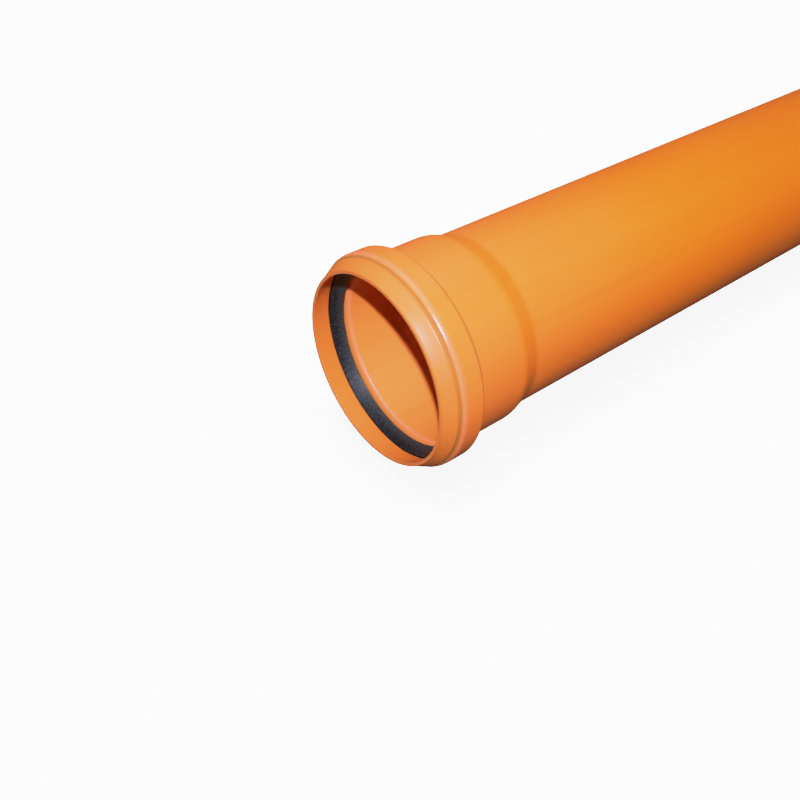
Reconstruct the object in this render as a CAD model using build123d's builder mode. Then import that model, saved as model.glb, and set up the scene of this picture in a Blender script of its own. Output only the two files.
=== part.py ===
from build123d import *
from math import atan, atan2, cos, radians, sin, tan
import os

# A plastic sewer pipe with a push-fit socket formed on one end and a rubber seal in the socket's
# bead. It lies along X with its mouth to -X and its spigot to +X, and the origin is on the floor
# under its middle. It rests on its bead and on the spigot's end, so it slopes down to the spigot
# by about half a degree. Lengths are in mm.

# Barrel
pipe_diameter = 110.0
wall = 3.2
laying_length = 1000.0
spigot_chamfer_length = 6.0
spigot_chamfer_angle = 15.0

# Socket that takes the next pipe's spigot, measured from its mouth
socket_depth = 61.0
socket_wall = 3.2
spigot_play = 0.3
taper_length = 11.5
taper_bend_radius = 15.0

# Bead around the seal's groove
bead_start = 10.9
bead_end = 24.9
bead_wall = 2.7
groove_depth = 6.6
bead_flank_angle = 72.0
bead_front_radius = 4.0
bead_rear_radius = 2.0
bead_foot_radius = 1.5
groove_rear_radius = 1.2
throat_radius = 2.4

# Lip between the mouth and the bead, with a shallow valley where it meets the bead's ridge
mouth_play = 1.2
rim_wall = 2.4
rim_straight = 1.0
rim_outer_radius = 0.5
rim_inner_radius = 0.4
rim_foot_radius = 0.8
ridge_height = 2.3
ridge_run = 1.6
valley_depth = 0.2
valley_run = 1.3
valley_radius = 0.3
shoulder_radius = 0.8
undercut_height = 1.7
undercut_angle = 66.0
undercut_radius = 0.4
groove_front_offset = 3.1
groove_front_radius = 0.5

# Seal ring: a heel pressed into the groove and a lip that leans in towards the bore
seal_seat_gap = 0.1
seal_front_gap = 0.3
seal_rear_gap = 0.5
seal_front_height = 1.5
seal_front_radius = 0.4
heel_height = 2.6
heel_radius = 0.7
lip_play = 0.1
lip_tip_width = 0.6
lip_tip_rise = 0.6
lip_tip_radius = 0.3
lip_root_setback = 3.4
lip_root_radius = 0.4
lip_end_setback = 1.7

# Radii that follow from those sizes
pipe_r = pipe_diameter / 2
bore_r = pipe_r - wall
socket_bore_r = pipe_r + spigot_play
socket_outer_r = socket_bore_r + socket_wall
groove_r = socket_bore_r + groove_depth
bead_r = groove_r + bead_wall
mouth_bore_r = pipe_r + mouth_play
mouth_outer_r = mouth_bore_r + rim_wall
overall_length = socket_depth + laying_length

# Stations along the axis, from the mouth
flank_slope = tan(radians(bead_flank_angle))
outer_step_end = bead_end + (bead_r - socket_outer_r) / flank_slope
groove_end = bead_end - bead_wall * tan(radians(bead_flank_angle / 2))
throat_start = groove_end + groove_depth / flank_slope
groove_start = bead_start + groove_front_offset
undercut_start = groove_start - undercut_height / tan(radians(undercut_angle))
valley_bottom = bead_start - ridge_run
valley_r = bead_r - ridge_height
taper_end = socket_depth + taper_length
half_taper_angle = atan2(socket_bore_r - bore_r, taper_length) / 2
chamfer_drop = spigot_chamfer_length * tan(radians(spigot_chamfer_angle))

# Corners of the pipe's section, each a distance from the mouth, a radius and the corner's rounding
pipe_corners = [
    (0, mouth_outer_r, rim_outer_radius),
    (rim_straight, mouth_outer_r, rim_foot_radius),
    (valley_bottom - valley_run, valley_r + valley_depth, shoulder_radius),
    (valley_bottom, valley_r, valley_radius),
    (bead_start, bead_r, bead_front_radius),
    (bead_end, bead_r, bead_rear_radius),
    (outer_step_end, socket_outer_r, bead_foot_radius),
    (socket_depth + socket_wall * tan(half_taper_angle), socket_outer_r, taper_bend_radius),
    (taper_end + wall * tan(half_taper_angle), pipe_r, taper_bend_radius),
    (overall_length - spigot_chamfer_length, pipe_r, 0),
    (overall_length, pipe_r - chamfer_drop, 0),
    (overall_length, bore_r, 0),
    (taper_end, bore_r, taper_bend_radius),
    (socket_depth, socket_bore_r, taper_bend_radius),
    (throat_start, socket_bore_r, throat_radius),
    (groove_end, groove_r, groove_rear_radius),
    (groove_start, groove_r, groove_front_radius),
    (undercut_start, groove_r - undercut_height, undercut_radius),
    (0, mouth_bore_r, rim_inner_radius),
]

# Corners of the seal's section, in the same way
seal_outer_r = groove_r - seal_seat_gap
seal_front = groove_start + seal_front_gap
seal_rear = groove_end - seal_rear_gap
heel_r = seal_outer_r - heel_height
lip_r = socket_bore_r + lip_play
lip_end = seal_rear - lip_end_setback
seal_corners = [
    (seal_front, seal_outer_r, seal_front_radius),
    (seal_rear, seal_outer_r, heel_radius),
    (seal_rear, heel_r, heel_radius),
    (seal_rear - lip_root_setback, heel_r, lip_root_radius),
    (lip_end + lip_tip_width, lip_r + lip_tip_rise, lip_tip_radius),
    (lip_end, lip_r, lip_tip_radius),
    (seal_front, seal_outer_r - seal_front_height, seal_front_radius),
]

# The pipe rests on the rear of its bead and on the edge where the spigot's chamfer starts
bead_rest = bead_end - bead_rear_radius * tan(radians(bead_flank_angle / 2))
spigot_rest = overall_length - spigot_chamfer_length
slope = atan((bead_r - pipe_r) / (spigot_rest - bead_rest))
mouth_centre = (-overall_length * cos(slope) / 2, 0, bead_r * cos(slope) + bead_rest * sin(slope))

# The sections lie in a plane through the axis, with their x along the pipe from the mouth
axis_direction = (cos(slope), 0, -sin(slope))
section_plane = Plane(origin=mouth_centre, x_dir=axis_direction, z_dir=(0, -1, 0))
pipe_axis = Axis(mouth_centre, axis_direction)


def points_of(corners):
    return [(station, radius) for station, radius, rounding in corners]


def round_corners(section, corners):
    """Rounds each corner of the section being drawn that has a rounding."""
    for station, radius, rounding in corners:
        if rounding > 0:
            corner = section.vertices().sort_by_distance((station, radius))[0]
            fillet(corner, radius=rounding)


# Barrel and socket, one piece of extruded and formed plastic
with BuildPart() as pipe:
    with BuildSketch(section_plane) as pipe_section:
        with BuildLine():
            Polyline(points_of(pipe_corners), close=True)
        make_face()
        round_corners(pipe_section, pipe_corners)
    revolve(axis=pipe_axis)

# Rubber seal in the bead's groove
with BuildPart() as seal_ring:
    with BuildSketch(section_plane) as seal_section:
        with BuildLine():
            Polyline(points_of(seal_corners), close=True)
        make_face()
        round_corners(seal_section, seal_corners)
    revolve(axis=pipe_axis)

pipe.part.label = "pipe"
seal_ring.part.label = "seal_ring"

os.makedirs("parts", exist_ok=True)
export_step(pipe.part, "parts/pipe.step")
export_step(seal_ring.part, "parts/seal_ring.step")
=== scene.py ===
"""A plastic sewer pipe with a push-fit socket and its rubber seal, lying on a pale studio floor."""
import math

import bmesh
import bpy
from mathutils import Matrix, Vector


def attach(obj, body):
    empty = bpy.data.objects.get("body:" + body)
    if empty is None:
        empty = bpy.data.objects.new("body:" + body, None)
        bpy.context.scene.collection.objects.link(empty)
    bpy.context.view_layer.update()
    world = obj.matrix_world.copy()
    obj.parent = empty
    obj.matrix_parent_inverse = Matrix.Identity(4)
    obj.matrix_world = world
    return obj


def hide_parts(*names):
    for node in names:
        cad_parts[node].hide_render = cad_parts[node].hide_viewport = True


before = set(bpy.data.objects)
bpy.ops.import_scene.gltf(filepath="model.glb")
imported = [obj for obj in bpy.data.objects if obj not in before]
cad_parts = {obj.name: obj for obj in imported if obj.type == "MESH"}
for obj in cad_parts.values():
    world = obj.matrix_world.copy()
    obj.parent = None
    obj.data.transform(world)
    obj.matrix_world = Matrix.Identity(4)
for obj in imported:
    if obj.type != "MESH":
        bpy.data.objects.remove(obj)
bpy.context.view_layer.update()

scene = bpy.context.scene
MM = 0.001

# The pipe's and the seal's sizes are those of the part's source. Lengths are in mm, and stations
# along the pipe are measured from its mouth.

# Barrel, where only the small rounding of the cut edges is the scene's own
PIPE_R = 55.0
BORE_R = 51.8
WALL = 3.2
LENGTH = 1061.0
CHAMFER_LENGTH = 6.0
CHAMFER_ANGLE = math.radians(15)
CUT_EDGE_ROUNDING = 0.15

# Socket
SOCKET_DEPTH = 61.0
SOCKET_BORE_R = 55.3
SOCKET_OUTER_R = 58.5
TAPER_END = 72.5
TAPER_ROUNDING = 15

# Bead around the seal's groove
BEAD_START = 10.9
BEAD_END = 24.9
BEAD_R = 64.6
BEAD_WALL = 2.7
FLANK_ANGLE = math.radians(72)
BEAD_FRONT_ROUNDING = 4.0
BEAD_REAR_ROUNDING = 2.0
BEAD_FOOT_ROUNDING = 1.5
GROOVE_R = 61.9
GROOVE_DEPTH = 6.6
GROOVE_REAR_ROUNDING = 1.2
THROAT_ROUNDING = 2.4

# Lip between the mouth and the bead, with a shallow valley in front of the bead
MOUTH_BORE_R = 56.2
MOUTH_OUTER_R = 58.6
RIM_STRAIGHT = 1.0
RIM_OUTER_ROUNDING = 0.5
RIM_INNER_ROUNDING = 0.4
RIM_FOOT_ROUNDING = 0.8
SHOULDER_RUN = 2.9
SHOULDER_DROP = 2.1
SHOULDER_ROUNDING = 0.8
VALLEY_RUN = 1.6
VALLEY_DROP = 2.3
VALLEY_ROUNDING = 0.3
GROOVE_FRONT_OFFSET = 3.1
GROOVE_FRONT_ROUNDING = 0.5
UNDERCUT_HEIGHT = 1.7
UNDERCUT_ANGLE = math.radians(66)
UNDERCUT_ROUNDING = 0.4

# Seal ring: a heel in the groove and a lip that leans in towards the bore
SEAL_SEAT_GAP = 0.1
SEAL_FRONT_GAP = 0.3
SEAL_REAR_GAP = 0.5
SEAL_FRONT_HEIGHT = 1.5
SEAL_FRONT_ROUNDING = 0.4
HEEL_HEIGHT = 2.6
HEEL_ROUNDING = 0.7
LIP_ROOT_SETBACK = 3.4
LIP_ROOT_ROUNDING = 0.4
LIP_END_SETBACK = 1.7
LIP_TIP_WIDTH = 0.6
LIP_TIP_ROUNDING = 0.3
LIP_OUTER_PLAY = 0.7
LIP_INNER_PLAY = 0.1

# Stations and drops that follow from those sizes
BEAD_REST = BEAD_END - BEAD_REAR_ROUNDING * math.tan(FLANK_ANGLE / 2)
CHAMFER_DROP = CHAMFER_LENGTH * math.tan(CHAMFER_ANGLE)
GROOVE_END = BEAD_END - BEAD_WALL * math.tan(FLANK_ANGLE / 2)
THROAT = GROOVE_END + GROOVE_DEPTH / math.tan(FLANK_ANGLE)
GROOVE_START = BEAD_START + GROOVE_FRONT_OFFSET
UNDERCUT_START = GROOVE_START - UNDERCUT_HEIGHT / math.tan(UNDERCUT_ANGLE)
STEP_END = BEAD_END + (BEAD_R - SOCKET_OUTER_R) / math.tan(FLANK_ANGLE)
HALF_TAPER = math.atan2(SOCKET_BORE_R - BORE_R, TAPER_END - SOCKET_DEPTH) / 2
TAPER_OUT = SOCKET_DEPTH + WALL * math.tan(HALF_TAPER)
BARREL_OUT = TAPER_END + WALL * math.tan(HALF_TAPER)
SEAL_OUT = GROOVE_R - SEAL_SEAT_GAP
SEAL_FRONT = GROOVE_START + SEAL_FRONT_GAP
SEAL_REAR = GROOVE_END - SEAL_REAR_GAP
LIP_END = SEAL_REAR - LIP_END_SETBACK

# The pipe rests on its bead and on the spigot's edge, so its axis slopes down from the mouth
SLOPE = math.atan((BEAD_R - PIPE_R) / (LENGTH - CHAMFER_LENGTH - BEAD_REST))
MOUTH = Vector((-LENGTH * math.cos(SLOPE) / 2, 0,
                BEAD_R * math.cos(SLOPE) + BEAD_REST * math.sin(SLOPE))) * MM
LEAN = Matrix.Rotation(SLOPE, 3, "Y")

# Corners as station, radius, rounding and the finish of the run that follows
FORMED, CUT, BORE = 0, 1, 2
PIPE_CORNERS = [
    (0, MOUTH_OUTER_R, RIM_OUTER_ROUNDING, FORMED),
    (RIM_STRAIGHT, MOUTH_OUTER_R, RIM_FOOT_ROUNDING, FORMED),
    (BEAD_START - SHOULDER_RUN, BEAD_R - SHOULDER_DROP, SHOULDER_ROUNDING, FORMED),
    (BEAD_START - VALLEY_RUN, BEAD_R - VALLEY_DROP, VALLEY_ROUNDING, FORMED),
    (BEAD_START, BEAD_R, BEAD_FRONT_ROUNDING, FORMED),
    (BEAD_END, BEAD_R, BEAD_REAR_ROUNDING, FORMED),
    (STEP_END, SOCKET_OUTER_R, BEAD_FOOT_ROUNDING, FORMED),
    (TAPER_OUT, SOCKET_OUTER_R, TAPER_ROUNDING, FORMED),
    (BARREL_OUT, PIPE_R, TAPER_ROUNDING, FORMED),
    (LENGTH - CHAMFER_LENGTH, PIPE_R, CUT_EDGE_ROUNDING, CUT),
    (LENGTH, PIPE_R - CHAMFER_DROP, CUT_EDGE_ROUNDING, CUT),
    (LENGTH, BORE_R, CUT_EDGE_ROUNDING, BORE),
    (TAPER_END, BORE_R, TAPER_ROUNDING, BORE),
    (SOCKET_DEPTH, SOCKET_BORE_R, TAPER_ROUNDING, BORE),
    (THROAT, SOCKET_BORE_R, THROAT_ROUNDING, BORE),
    (GROOVE_END, GROOVE_R, GROOVE_REAR_ROUNDING, BORE),
    (GROOVE_START, GROOVE_R, GROOVE_FRONT_ROUNDING, BORE),
    (UNDERCUT_START, GROOVE_R - UNDERCUT_HEIGHT, UNDERCUT_ROUNDING, BORE),
    (0, MOUTH_BORE_R, RIM_INNER_ROUNDING, CUT),
]

# The seal's corners in the same way, all of one finish
RUBBER = 0
SEAL_CORNERS = [
    (SEAL_FRONT, SEAL_OUT, SEAL_FRONT_ROUNDING, RUBBER),
    (SEAL_REAR, SEAL_OUT, HEEL_ROUNDING, RUBBER),
    (SEAL_REAR, SEAL_OUT - HEEL_HEIGHT, HEEL_ROUNDING, RUBBER),
    (SEAL_REAR - LIP_ROOT_SETBACK, SEAL_OUT - HEEL_HEIGHT, LIP_ROOT_ROUNDING, RUBBER),
    (LIP_END + LIP_TIP_WIDTH, SOCKET_BORE_R + LIP_OUTER_PLAY, LIP_TIP_ROUNDING, RUBBER),
    (LIP_END, SOCKET_BORE_R + LIP_INNER_PLAY, LIP_TIP_ROUNDING, RUBBER),
    (SEAL_FRONT, SEAL_OUT - SEAL_FRONT_HEIGHT, SEAL_FRONT_ROUNDING, RUBBER),
]

# How finely the pieces are divided: arcs by degrees and mm, runs by mm, and round the axis
ARC_STEPS = 3
ARC_STEP_ANGLE = 7
ARC_STEP_LENGTH = 0.6
PIPE_RUN = 45
SEAL_RUN = 2.5
SEGMENTS = 288


def placed(name, data):
    """A new object in the scene."""
    thing = bpy.data.objects.new(name, data)
    scene.collection.objects.link(thing)
    return thing


def outline(corners, longest_run):
    """The rounded section as (point, outward normal, finish) in order, with long runs divided."""
    path = []
    for i, (x, r, rounding, finish) in enumerate(corners):
        here = Vector((x, r))
        before = Vector(corners[i - 1][:2])
        after = Vector(corners[(i + 1) % len(corners)][:2])
        arrive, leave = (here - before).normalized(), (after - here).normalized()
        turn = math.atan2(arrive.x * leave.y - arrive.y * leave.x, arrive.dot(leave))
        side = 1 if turn > 0 else -1
        reach = rounding * math.tan(abs(turn) / 2)
        start = Vector((-arrive.y, arrive.x))
        centre = here - arrive * reach + start * rounding * side
        by_angle = math.ceil(math.degrees(abs(turn)) / ARC_STEP_ANGLE)
        by_length = math.ceil(abs(turn) * rounding / ARC_STEP_LENGTH)
        steps = max(ARC_STEPS, by_angle, by_length)
        for step in range(steps + 1):
            angle = turn * step / steps
            normal = Vector((start.x * math.cos(angle) - start.y * math.sin(angle),
                             start.x * math.sin(angle) + start.y * math.cos(angle)))
            path.append((centre - normal * rounding * side, normal, finish))
    full = []
    for i, (point, normal, finish) in enumerate(path):
        full.append((point, normal, finish))
        after = path[(i + 1) % len(path)][0]
        parts = math.ceil((after - point).length / longest_run)
        for part in range(1, parts):
            full.append((point.lerp(after, part / parts), normal, finish))
    return full


def turned(name, corners, longest_run, materials):
    """A piece turned about the pipe's axis, with its object at the origin."""
    section = outline(corners, longest_run)
    count = len(section)
    verts, normals, faces, finishes = [], [], [], []
    for segment in range(SEGMENTS):
        angle = 2 * math.pi * segment / SEGMENTS
        ca, sa = math.cos(angle), math.sin(angle)
        for point, normal, _ in section:
            verts.append(MOUTH + LEAN @ Vector((point.x, -point.y * sa, point.y * ca)) * MM)
            normals.append(LEAN @ Vector((normal.x, -normal.y * sa, normal.y * ca)))
    for segment in range(SEGMENTS):
        here, there = segment * count, (segment + 1) % SEGMENTS * count
        for i in range(count):
            j = (i + 1) % count
            faces.append((here + i, there + i, there + j, here + j))
            finishes.append(section[i][2])
    mesh = bpy.data.meshes.new(name)
    mesh.from_pydata(verts, [], faces)
    mesh.polygons.foreach_set("material_index", finishes)
    mesh.polygons.foreach_set("use_smooth", [True] * len(faces))
    mesh.normals_split_custom_set_from_vertices(normals)
    for material in materials:
        mesh.materials.append(material)
    return placed(name, mesh)


# A mix node's sockets for colours
MIX_FIRST, MIX_SECOND, MIX_RESULT = 6, 7, 2

# Patterns as scale per axis, scale, detail and roughness, and ring patterns without the first
EVEN = (1, 1, 1)
PLASTIC_CLOUDS = ((6, 14, 14), 1.0, 3.0, 0.55)
PLASTIC_STREAKS = ((1.2, 260, 260), 1.0, 3.0, 0.6)
PLASTIC_GRAIN = (EVEN, 900, 2.0, 0.5)
PLASTIC_RINGS = (900, 2.0, 0.5)
CUT_GRAIN = (EVEN, 700, 2.0, 0.5)
CUT_RINGS = (2600, 3.0, 0.6)
RUBBER_GRAIN = (EVEN, 1500, 3.0, 0.6)
RUBBER_DUST = (EVEN, 800, 4.0, 0.7)
RUBBER_RINGS = (1400, 2.0, 0.5)
FLOOR_CLOUDS = (EVEN, 2.2, 3.0, 0.5)
BACKDROP_CLOUDS = (EVEN, 0.3, 3.0, 0.5)
ROUND_SHARE = 0.02

# Ranges as low, high and the values there. Those along x are in metres from the mouth.
MOTTLE = (0.35, 0.65, 0, 1)
SPECKLES = (0.62, 0.74, 0.0, 0.10)
ON_LIP = (0.0085, 0.0095, 1.0, 0.0)
IN_SOCKET = (0.060, 0.076, 1.0, 0.0)
CLOUD_ROUGHNESS = (0.3, 0.7, 0.44, 0.50)
STREAK_ROUGHNESS = (0.3, 0.7, -0.03, 0.03)
LIP_ROUGHNESS = (0.002, 0.006, 0.02, 0.13)
CUT_ROUGHNESS = (0.35, 0.65, 0.46, 0.6)
RUBBER_DUSTY = (0.5, 0.75, 0, 1)
RUBBER_ROUGHNESS = (0.3, 0.7, 0.28, 0.44)
# Paler towards the lip's tip: wear and painted sheen
RUBBER_WEAR_AND_SHEEN = (0.0165, 0.0205, 0.0, 0.7)
RUBBER_WEAR_AND_SHEEN_GRAIN = (0.3, 0.7, 0.4, 1.0)

# Shares of one value in another
CLOUD_SHARE, STREAK_SHARE = 0.6, 0.4
CUT_RING_SHARE, CUT_GRAIN_SHARE = 0.6, 0.4
LINE_SHARE, RING_SHARE = 0.5, 0.25
# The taper's far colours are painted shade
TAPER_SHADE_SHARE = 0.7
# The paler colour on the bend lines is a painted highlight
BEND_HIGHLIGHT_SHARE = 0.42
# Painted shade in the crease lines
CREASE_SHADE = 0.8
RUBBED_POLISH = 0.20

# Heights of the relief, in metres
PLASTIC_LINE_HEIGHT = 0.00002
PLASTIC_GRAIN_HEIGHT = 0.000008
CUT_HEIGHT = 0.00003
RUBBER_RING_HEIGHT = 0.00004
RUBBER_GRAIN_HEIGHT = 0.00008

# Colours. The pairs are the two ends of a mottled tone.
BARREL_COLOURS = ((0.84, 0.162, 0.0040), (0.90, 0.184, 0.0060))
# The socket's colours are paler than the barrel's: painted sheen near the mouth, where the light is
# strongest
SOCKET_SHEEN_COLOURS = ((0.83, 0.171, 0.018), (0.89, 0.193, 0.026))
# Inside, the plastic is painted paler than outside: painted light in the socket's mouth and bore
INNER_LIP_PAINTED_LIGHT_COLOURS = ((0.86, 0.208, 0.025), (0.92, 0.230, 0.033))
INNER_SOCKET_PAINTED_LIGHT_COLOURS = ((0.83, 0.218, 0.034), (0.90, 0.244, 0.043))
CUT_COLOURS = ((0.60, 0.146, 0.024), (0.73, 0.205, 0.050))
SPECKLE_COLOUR = (0.88, 0.30, 0.06)
# Painted highlight on the bend lines
BEND_HIGHLIGHT_COLOUR = (0.90, 0.205, 0.105)
# Dark colour for the dust on the lip and for painted shade in the crease lines
DUST_AND_SHADE_COLOUR = (0.29, 0.130, 0.020)
RUBBER_COLOURS = ((0.008, 0.0072, 0.007), (0.062, 0.058, 0.058))
# The paler colour towards the seal lip's tip: wear and painted sheen
RUBBER_WEAR_AND_SHEEN_COLOUR = (0.060, 0.055, 0.052)
FLOOR_COLOURS = ((0.86, 0.86, 0.86), (0.88, 0.88, 0.88))
BACKDROP_COLOURS = ((0.98, 0.98, 0.98), (1.0, 1.0, 1.0))
BLACK = (0.0, 0.0, 0.0, 1)
WHITE = (1, 1, 1, 1)

# Reflection and glow
PLASTIC_IOR = 1.5
PLASTIC_SPECULAR = 0.38
PLASTIC_SPECULAR_TINT = (0.80, 0.50, 1.0, 1)
RUBBER_IOR = 1.52
RUBBER_SPECULAR = 0.25
FLOOR_ROUGHNESS = 0.75
FLOOR_GLOW = 2.4
BACKDROP_GLOW = 2.5

# Where the near colours give way to the far ones, in metres from the mouth
# Outside, the painted sheen of the near colours fades out over this span
OUTER_SHEEN_FADE = (0.03, 0.22)
INNER_CHANGE = (0.013, 0.020)

# Places on the plastic in metres from the mouth: a centre, half the width and how softly it ends
OUTER_EDGES = ((0.0079, 0.0003, 0.0003), (0.0107, 0.0006, 0.0007))
# Painted highlight along the bead's front bend
OUTER_BEND_HIGHLIGHTS = ((0.0116, 0.0010, 0.0018),)
# Painted shade in the valley before the bead and along the bead's rear bend and foot
OUTER_SHADED_CREASES = ((0.0096, 0.0004, 0.0005), (0.0271, 0.0021, 0.0011))
# Painted shade on the taper, which tilts away from the light: the far colours, without the sheen
OUTER_TAPER_SHADE = ((0.0635, 0.0005, 0.0080), (0.0680, 0.0035, 0.0050))
# Painted highlight on the throat's bend
INNER_BEND_HIGHLIGHTS = ((0.0257, 0.0008, 0.0012),)
# Painted shade in the crease lines before and behind the seal
INNER_SHADED_CREASES = ((0.0136, 0.0003, 0.0004), (0.0232, 0.0003, 0.0008))
OUTER_LIP_DUST = 0.25


class Shader:
    """Short ways to add and join the nodes of one material."""

    def __init__(self, name):
        self.material = bpy.data.materials.new(name)
        self.material.use_nodes = True
        self.tree = self.material.node_tree
        self.bsdf = self.tree.nodes["Principled BSDF"]

    def node(self, kind, **values):
        node = self.tree.nodes.new(kind)
        for key, value in values.items():
            setattr(node, key, value)
        return node

    def join(self, source, target):
        self.tree.links.new(source, target)

    def feed(self, socket, source):
        """Joins a pattern to one of the surface's own sockets."""
        self.join(source, self.bsdf.inputs[socket])

    def fix(self, socket, value):
        """Sets one of the surface's own sockets to a value that is the same all over."""
        self.bsdf.inputs[socket].default_value = value

    def maths(self, operation, a, b=None):
        node = self.node("ShaderNodeMath", operation=operation)
        for socket, value in zip(node.inputs, (a, b)):
            if value is None:
                continue
            if isinstance(value, (int, float)):
                socket.default_value = value
            else:
                self.join(value, socket)
        return node.outputs[0]

    def weighted(self, first, first_weight, second, second_weight):
        """The sum of two values, each times its weight."""
        return self.maths("ADD", self.maths("MULTIPLY", first, first_weight),
                          self.maths("MULTIPLY", second, second_weight))

    def along(self):
        """Coordinates in metres with x along the pipe from its mouth, and y and z across it."""
        coords = self.node("ShaderNodeTexCoord")
        mapping = self.node("ShaderNodeMapping", vector_type="TEXTURE")
        mapping.inputs["Location"].default_value = MOUTH
        mapping.inputs["Rotation"].default_value = (0, SLOPE, 0)
        self.join(coords.outputs["Object"], mapping.inputs["Vector"])
        return mapping.outputs[0]

    def around(self):
        """Coordinates for marks that run round the pipe, and x along it.

        The coordinates vary with x and with the distance from the axis, and hardly round it.
        """
        parts = self.node("ShaderNodeSeparateXYZ")
        self.join(self.along(), parts.inputs[0])
        x, y, z = parts.outputs
        radius = self.maths("SQRT", self.maths("ADD", self.maths("MULTIPLY", y, y),
                                               self.maths("MULTIPLY", z, z)))
        rings = self.node("ShaderNodeCombineXYZ")
        self.join(x, rings.inputs["X"])
        self.join(radius, rings.inputs["Y"])
        self.join(self.maths("MULTIPLY", y, ROUND_SHARE), rings.inputs["Z"])
        return rings.outputs[0], x

    def noise(self, vector, scale, detail, roughness):
        node = self.node("ShaderNodeTexNoise")
        node.inputs["Scale"].default_value = scale
        node.inputs["Detail"].default_value = detail
        node.inputs["Roughness"].default_value = roughness
        self.join(vector, node.inputs["Vector"])
        return node.outputs["Fac"]

    def pattern(self, axes, scale, detail, roughness):
        """Noise in the pipe's coordinates, stretched out along an axis whose own scale is small."""
        mapping = self.node("ShaderNodeMapping")
        mapping.inputs["Scale"].default_value = axes
        self.join(self.along(), mapping.inputs["Vector"])
        return self.noise(mapping.outputs[0], scale, detail, roughness)

    def spread(self, value, low, high, to_low, to_high):
        """The value between low and high, taken to a new range and held at its ends."""
        node = self.node("ShaderNodeMapRange")
        ends = {"From Min": low, "From Max": high, "To Min": to_low, "To Max": to_high}
        for key, number in ends.items():
            node.inputs[key].default_value = number
        self.join(value, node.inputs["Value"])
        return node.outputs[0]

    def bands(self, value, places, strength):
        """The strength inside any of the places, and 0 away from them."""
        total = 0
        for centre, half, soft in places:
            off = self.maths("ABSOLUTE", self.maths("SUBTRACT", value, centre))
            total = self.maths("MAXIMUM", total, self.spread(off, half, half + soft, 1.0, 0.0))
        return self.maths("MULTIPLY", total, strength)

    def colour_between(self, factor, first, second):
        node = self.node("ShaderNodeMix", data_type="RGBA")
        self.join(factor, node.inputs["Factor"])
        for index, colour in ((MIX_FIRST, first), (MIX_SECOND, second)):
            if isinstance(colour, tuple):
                node.inputs[index].default_value = (*colour, 1)
            else:
                self.join(colour, node.inputs[index])
        return node.outputs[MIX_RESULT]

    def bump(self, height, distance, below=None):
        node = self.node("ShaderNodeBump")
        node.inputs["Strength"].default_value = 1
        node.inputs["Distance"].default_value = distance
        self.join(height, node.inputs["Height"])
        if below is not None:
            self.join(below, node.inputs["Normal"])
        return node.outputs[0]

    def plastic_gloss(self):
        """The reflection that all the plastic finishes share."""
        self.fix("IOR", PLASTIC_IOR)
        self.fix("Specular IOR Level", PLASTIC_SPECULAR)
        self.fix("Specular Tint", PLASTIC_SPECULAR_TINT)


def plastic(name, near, far, change, bend_highlights, shaded_creases, taper_shade=(), rubbed=(), lip_dust=0.0):
    """Satin orange plastic, whose colours near the mouth give way to the far ones along x.

    It has die lines on the barrel and ring marks in the socket. On the taper it has the far colours
    as painted shade, its rubbed edges are glossier, painted highlights lie on its sharp folds,
    painted shade lies in its hollow corners, and there is dust on its lip.
    """
    s = Shader(name)
    rings, x = s.around()
    clouds = s.pattern(*PLASTIC_CLOUDS)
    streaks = s.pattern(*PLASTIC_STREAKS)
    grain = s.pattern(*PLASTIC_GRAIN)
    ring_marks = s.noise(rings, *PLASTIC_RINGS)
    on_lip = s.spread(x, *ON_LIP)

    mottle = s.spread(s.weighted(clouds, CLOUD_SHARE, streaks, STREAK_SHARE), *MOTTLE)
    # The near colours carry painted sheen, and the far colours on the taper are painted shade
    changed = s.maths("MAXIMUM", s.spread(x, *change, 0, 1), s.bands(x, taper_shade, TAPER_SHADE_SHARE))
    near_colour = s.colour_between(mottle, *near)
    far_colour = s.colour_between(mottle, *far)
    colour = s.colour_between(changed, near_colour, far_colour)
    colour = s.colour_between(s.spread(grain, *SPECKLES), colour, SPECKLE_COLOUR)
    # Painted highlights on the bend lines
    colour = s.colour_between(s.bands(x, bend_highlights, BEND_HIGHLIGHT_SHARE), colour, BEND_HIGHLIGHT_COLOUR)
    # Painted shade in the crease lines, and dust on the lip
    dust_and_shade = s.maths("MAXIMUM", s.bands(x, shaded_creases, CREASE_SHADE),
                    s.maths("MULTIPLY", on_lip, lip_dust))
    s.feed("Base Color", s.colour_between(dust_and_shade, colour, DUST_AND_SHADE_COLOUR))

    rough = s.maths("ADD", s.spread(clouds, *CLOUD_ROUGHNESS), s.spread(streaks, *STREAK_ROUGHNESS))
    rough = s.maths("ADD", rough, s.maths("MULTIPLY", s.spread(x, *LIP_ROUGHNESS), on_lip))
    s.feed("Roughness", s.maths("SUBTRACT", rough, s.bands(x, rubbed, RUBBED_POLISH)))

    in_socket = s.spread(x, *IN_SOCKET)
    lines = s.maths("MULTIPLY", streaks, s.maths("SUBTRACT", 1.0, in_socket))
    marks = s.maths("MULTIPLY", ring_marks, in_socket)
    relief = s.bump(s.weighted(lines, LINE_SHARE, marks, RING_SHARE), PLASTIC_LINE_HEIGHT)
    s.feed("Normal", s.bump(grain, PLASTIC_GRAIN_HEIGHT, relief))
    s.plastic_gloss()
    return s.material


def cut_plastic():
    """The sawn and bevelled ends: a little darker and duller, with fine marks round the axis."""
    s = Shader("cut_plastic")
    rings, _ = s.around()
    tone = s.weighted(s.noise(rings, *CUT_RINGS), CUT_RING_SHARE,
                      s.pattern(*CUT_GRAIN), CUT_GRAIN_SHARE)
    s.feed("Base Color", s.colour_between(s.spread(tone, *MOTTLE), *CUT_COLOURS))
    s.feed("Roughness", s.spread(tone, *CUT_ROUGHNESS))
    s.feed("Normal", s.bump(tone, CUT_HEIGHT))
    s.plastic_gloss()
    return s.material


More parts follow.
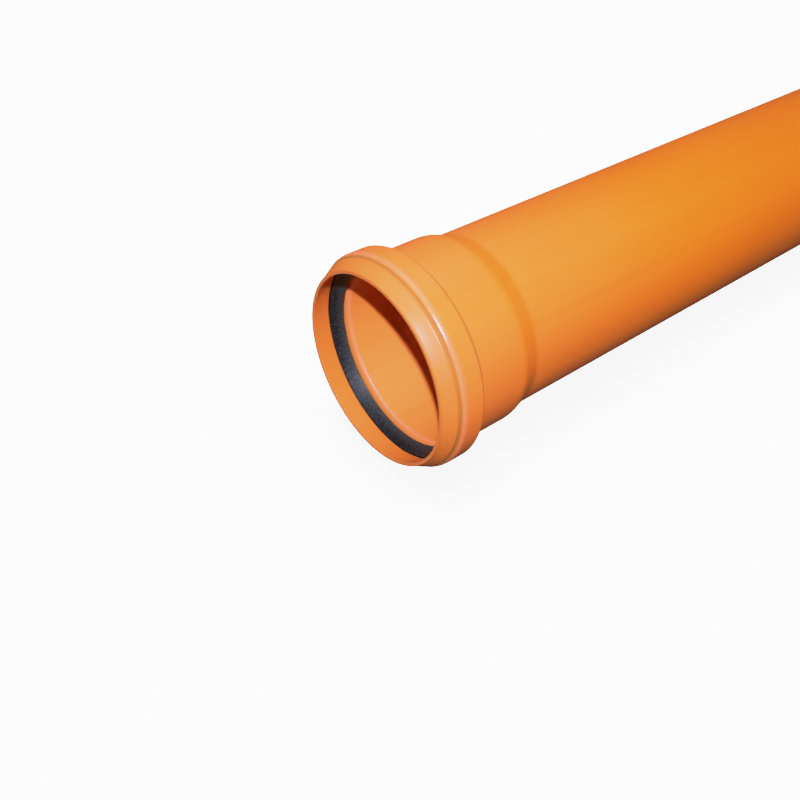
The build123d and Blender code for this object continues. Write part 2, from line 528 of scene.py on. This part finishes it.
def seal_rubber():
    """Moulded black rubber: a fine grain, faint rings from its mould, a little dust, and a lip
    paler towards its tip from wear and painted sheen.
    """
    s = Shader("seal_rubber")
    rings, x = s.around()
    grain = s.pattern(*RUBBER_GRAIN)
    dust = s.pattern(*RUBBER_DUST)
    colour = s.colour_between(s.spread(dust, *RUBBER_DUSTY), *RUBBER_COLOURS)
    # Paler towards the lip's tip: wear and painted sheen
    wear_and_sheen = s.maths("MULTIPLY", s.spread(x, *RUBBER_WEAR_AND_SHEEN), s.spread(grain, *RUBBER_WEAR_AND_SHEEN_GRAIN))
    s.feed("Base Color", s.colour_between(wear_and_sheen, colour, RUBBER_WEAR_AND_SHEEN_COLOUR))
    s.feed("Roughness", s.spread(dust, *RUBBER_ROUGHNESS))
    relief = s.bump(s.noise(rings, *RUBBER_RINGS), RUBBER_RING_HEIGHT)
    s.feed("Normal", s.bump(grain, RUBBER_GRAIN_HEIGHT, relief))
    s.fix("IOR", RUBBER_IOR)
    s.fix("Specular IOR Level", RUBBER_SPECULAR)
    return s.material


def floor_paint():
    """Plain pale floor that glows a little, faintly mottled."""
    s = Shader("floor_paint")
    s.feed("Base Color", s.colour_between(s.pattern(*FLOOR_CLOUDS), *FLOOR_COLOURS))
    s.fix("Roughness", FLOOR_ROUGHNESS)
    s.fix("Emission Color", WHITE)
    s.fix("Emission Strength", FLOOR_GLOW)
    return s.material


def backdrop_paint():
    """The backdrop's own glow, as bright as the lit floor, faintly mottled."""
    s = Shader("backdrop_paint")
    s.feed("Emission Color", s.colour_between(s.pattern(*BACKDROP_CLOUDS), *BACKDROP_COLOURS))
    s.fix("Base Color", BLACK)
    s.fix("Specular IOR Level", 0.0)
    s.fix("Emission Strength", BACKDROP_GLOW)
    return s.material


# Pieces
orange = plastic("pipe_plastic", SOCKET_SHEEN_COLOURS, BARREL_COLOURS, OUTER_SHEEN_FADE,
                 bend_highlights=OUTER_BEND_HIGHLIGHTS, shaded_creases=OUTER_SHADED_CREASES, taper_shade=OUTER_TAPER_SHADE,
                 rubbed=OUTER_EDGES, lip_dust=OUTER_LIP_DUST)
# The inside has its own paler copy of the plastic: painted light inside the socket
inner_painted_light = plastic("bore_plastic_painted_light", INNER_LIP_PAINTED_LIGHT_COLOURS, INNER_SOCKET_PAINTED_LIGHT_COLOURS, INNER_CHANGE,
                bend_highlights=INNER_BEND_HIGHLIGHTS, shaded_creases=INNER_SHADED_CREASES)
sawn, rubber = cut_plastic(), seal_rubber()
pipe = turned("pipe_shell", PIPE_CORNERS, PIPE_RUN, [orange, sawn, inner_painted_light])
seal = turned("seal", SEAL_CORNERS, SEAL_RUN, [rubber])
for piece, node, slot in ((pipe, "pipe", "pipe_plastic"), (seal, "seal_ring", "seal_rubber")):
    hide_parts(node)
    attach(piece, "root")

# The CAD nodes that the pieces replace have the same finishes
for node, material in (("pipe", orange), ("seal_ring", rubber)):
    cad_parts[node].data.materials.clear()
    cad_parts[node].data.materials.append(material)

# Floor
FLOOR_HALF = 12.0
mesh = bpy.data.meshes.new("floor")
mesh.from_pydata([(-FLOOR_HALF, -FLOOR_HALF, 0), (FLOOR_HALF, -FLOOR_HALF, 0),
                  (FLOOR_HALF, FLOOR_HALF, 0), (-FLOOR_HALF, FLOOR_HALF, 0)], [], [(0, 1, 2, 3)])
floor = placed("floor", mesh)
mesh.materials.append(floor_paint())

# Backdrop: a pale dome that closes the floor's horizon
DOME_R = 11.5
mesh = bpy.data.meshes.new("backdrop")
dome = bmesh.new()
bmesh.ops.create_uvsphere(dome, u_segments=64, v_segments=32, radius=DOME_R)
bmesh.ops.reverse_faces(dome, faces=dome.faces)
dome.to_mesh(mesh)
dome.free()
backdrop = placed("backdrop", mesh)
mesh.materials.append(backdrop_paint())
backdrop.visible_shadow = False
for surround in (floor, backdrop):
    surround.visible_diffuse = False
    surround.visible_glossy = False

# Camera, fitted to the outlines of the rim, bead, taper and barrel
CAMERA_TILT = math.radians(49.656)
CAMERA_HEADING = math.radians(-38.857)
camera = placed("camera", bpy.data.cameras.new("camera"))
camera.location = (-0.7579, -0.3070, 0.3681)
camera.rotation_euler = (CAMERA_TILT, 0, CAMERA_HEADING)
camera.data.lens = 39.617
camera.data.sensor_width = 36
camera.data.clip_start = 0.01
scene.camera = camera


def lamp(name, place, target, size, power, tint=(1, 1, 1)):
    """A disc light that faces its target, with its size in metres and its power in watts."""
    data = bpy.data.lights.new(name, "AREA")
    data.shape = "DISK"
    data.size = size
    data.energy = power
    data.color = tint
    light = placed(name, data)
    light.location = place
    light.rotation_euler = (Vector(target) - light.location).to_track_quat("-Z", "Y").to_euler()
    return light


def light_only(light, pieces):
    """Keeps a light's effect to some pieces."""
    group = bpy.data.collections.new(light.name + "_group")
    for piece in pieces:
        group.objects.link(piece)
    light.light_linking.receiver_collection = group


# Lights on the pipe: a small cool flash near the camera and a soft box close above the socket
COOL = (0.9, 1.0, 1.3)
flash = lamp("flash", place=(-0.9763, -0.5446, 0.7752), target=(-0.45, 0, 0.06),
             size=0.03, power=18.6, tint=COOL)
light_only(flash, (pipe, seal))
top_box = lamp("top_box", place=(-0.45, 0.05, 0.60), target=(-0.45, 0, 0.08),
               size=0.35, power=1.25, tint=COOL)
light_only(top_box, (pipe, seal))

# Fill for the pipe's rear, its spigot's end and its far half, without highlights
rear_box = lamp("rear_box", place=(0.0, 1.9, 0.28), target=(0.0, 0, 0.06), size=1.2, power=12)
end_box = lamp("end_box", place=(1.25, 0.30, 0.40), target=(0.53, 0, 0.06), size=0.5, power=3)
far_box = lamp("far_box", place=(0.44, -0.30, 0.60), target=(0.40, 0, 0.06), size=0.4, power=0.6)
far_box.data.spread = math.radians(90)
for light in (rear_box, end_box, far_box):
    light_only(light, (pipe, seal))
    light.visible_glossy = False

# A wide soft box over the floor, and a faint even light all round
soft_box = lamp("soft_box", place=(-0.2, 0.1, 2.4), target=(-0.1, 0, 0), size=2.6, power=70)
light_only(soft_box, (floor,))
WORLD_STRENGTH = 0.11
world = bpy.data.worlds.new("studio")
world.use_nodes = True
background = world.node_tree.nodes["Background"]
background.inputs["Color"].default_value = WHITE
background.inputs["Strength"].default_value = WORLD_STRENGTH
scene.world = world

# Film response: strong colours stop short of full, and only bright light reaches white
WHITE_LEVEL = 4.0
COMBINED_CURVE = 3
LIGHT_SHOWN = ((0.35, 0.35), (0.7, 0.69), (0.95, 0.80), (1.3, 0.835), (2.0, 0.88), (2.8, 0.95))
look = scene.view_settings
look.view_transform = "Standard"
look.use_curve_mapping = True
curves = look.curve_mapping
curves.white_level = (WHITE_LEVEL, WHITE_LEVEL, WHITE_LEVEL)
response = curves.curves[COMBINED_CURVE]
response.points[0].location = (0, 0)
response.points[1].location = (1, 1)
for light_level, shown in LIGHT_SHOWN:
    response.points.new(light_level / WHITE_LEVEL, shown)
for point in response.points:
    point.handle_type = "AUTO_CLAMPED"
curves.update()
